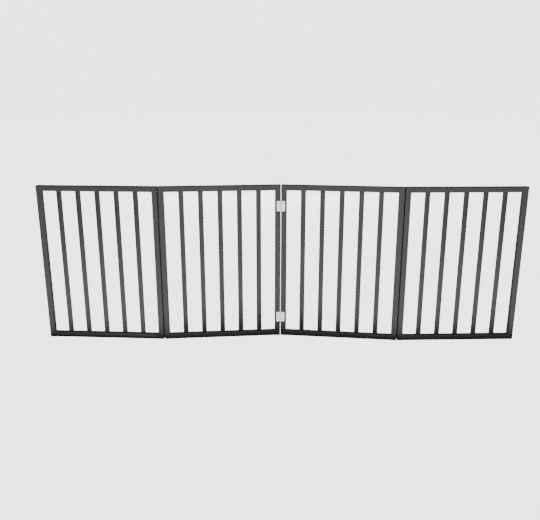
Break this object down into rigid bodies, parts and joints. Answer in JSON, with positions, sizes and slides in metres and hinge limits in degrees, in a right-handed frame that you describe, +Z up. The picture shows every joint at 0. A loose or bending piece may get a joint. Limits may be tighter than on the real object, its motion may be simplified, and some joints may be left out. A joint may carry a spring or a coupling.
{
  "type": "pet gate",
  "caption": "Freestanding folding pet gate: slatted wooden panels of stiles, rails and slats, hinged edge to edge to stand in a zig-zag and fold flat on each other.",
  "frame": {"origin": "on the floor, in the middle of the gate's bounding box", "axes": "+X runs along the gate to the right, +Y from the front (the side with the centre hinges) to the back, +Z up"},
  "size_m": [1.841, 0.0688, 0.6096],
  "materials": {
    "painted_wood": "satin charcoal paint on wood",
    "hinge_steel": "bright zinc plate"
  },
  "bodies": {
    "panel_1": {"panel_1_left_stile": "painted_wood", "panel_1_right_stile": "painted_wood", "panel_1_bottom_rail": "painted_wood", "panel_1_top_rail": "painted_wood", "panel_1_slat_1": "painted_wood", "panel_1_slat_2": "painted_wood", "panel_1_slat_3": "painted_wood", "panel_1_slat_4": "painted_wood", "panel_1_slat_5": "painted_wood", "left_upper_hinge_left_leaf": "hinge_steel", "left_lower_hinge_left_leaf": "hinge_steel"},
    "panel_2": {"panel_2_left_stile": "painted_wood", "panel_2_right_stile": "painted_wood", "panel_2_bottom_rail": "painted_wood", "panel_2_top_rail": "painted_wood", "panel_2_slat_1": "painted_wood", "panel_2_slat_2": "painted_wood", "panel_2_slat_3": "painted_wood", "panel_2_slat_4": "painted_wood", "panel_2_slat_5": "painted_wood", "centre_upper_hinge_left_leaf": "hinge_steel", "centre_upper_hinge_pin": "hinge_steel", "centre_lower_hinge_left_leaf": "hinge_steel", "centre_lower_hinge_pin": "hinge_steel", "left_upper_hinge_right_leaf": "hinge_steel", "left_upper_hinge_pin": "hinge_steel", "left_lower_hinge_right_leaf": "hinge_steel", "left_lower_hinge_pin": "hinge_steel"},
    "panel_3": {"panel_3_left_stile": "painted_wood", "panel_3_right_stile": "painted_wood", "panel_3_bottom_rail": "painted_wood", "panel_3_top_rail": "painted_wood", "panel_3_slat_1": "painted_wood", "panel_3_slat_2": "painted_wood", "panel_3_slat_3": "painted_wood", "panel_3_slat_4": "painted_wood", "panel_3_slat_5": "painted_wood", "centre_upper_hinge_right_leaf": "hinge_steel", "centre_lower_hinge_right_leaf": "hinge_steel", "right_upper_hinge_left_leaf": "hinge_steel", "right_upper_hinge_pin": "hinge_steel", "right_lower_hinge_left_leaf": "hinge_steel", "right_lower_hinge_pin": "hinge_steel"},
    "panel_4": {"panel_4_left_stile": "painted_wood", "panel_4_right_stile": "painted_wood", "panel_4_bottom_rail": "painted_wood", "panel_4_top_rail": "painted_wood", "panel_4_slat_1": "painted_wood", "panel_4_slat_2": "painted_wood", "panel_4_slat_3": "painted_wood", "panel_4_slat_4": "painted_wood", "panel_4_slat_5": "painted_wood", "right_upper_hinge_right_leaf": "hinge_steel", "right_lower_hinge_right_leaf": "hinge_steel"}
  },
  "joints": [
    {"name": "centre_fold", "type": "hinge", "parent": "panel_2", "child": "panel_3", "pos_m": [0, 0.01044, 0], "axis": [0, 0, -1], "range_deg": [-12, 168]},
    {"name": "left_fold", "type": "hinge", "parent": "panel_2", "child": "panel_1", "pos_m": [-0.46027, -0.01019, 0], "axis": [0, 0, -1], "range_deg": [-8.5, 171.5]},
    {"name": "right_fold", "type": "hinge", "parent": "panel_3", "child": "panel_4", "pos_m": [0.46027, -0.01019, 0], "axis": [0, 0, 1], "range_deg": [-8.5, 171.5]}
  ]
}
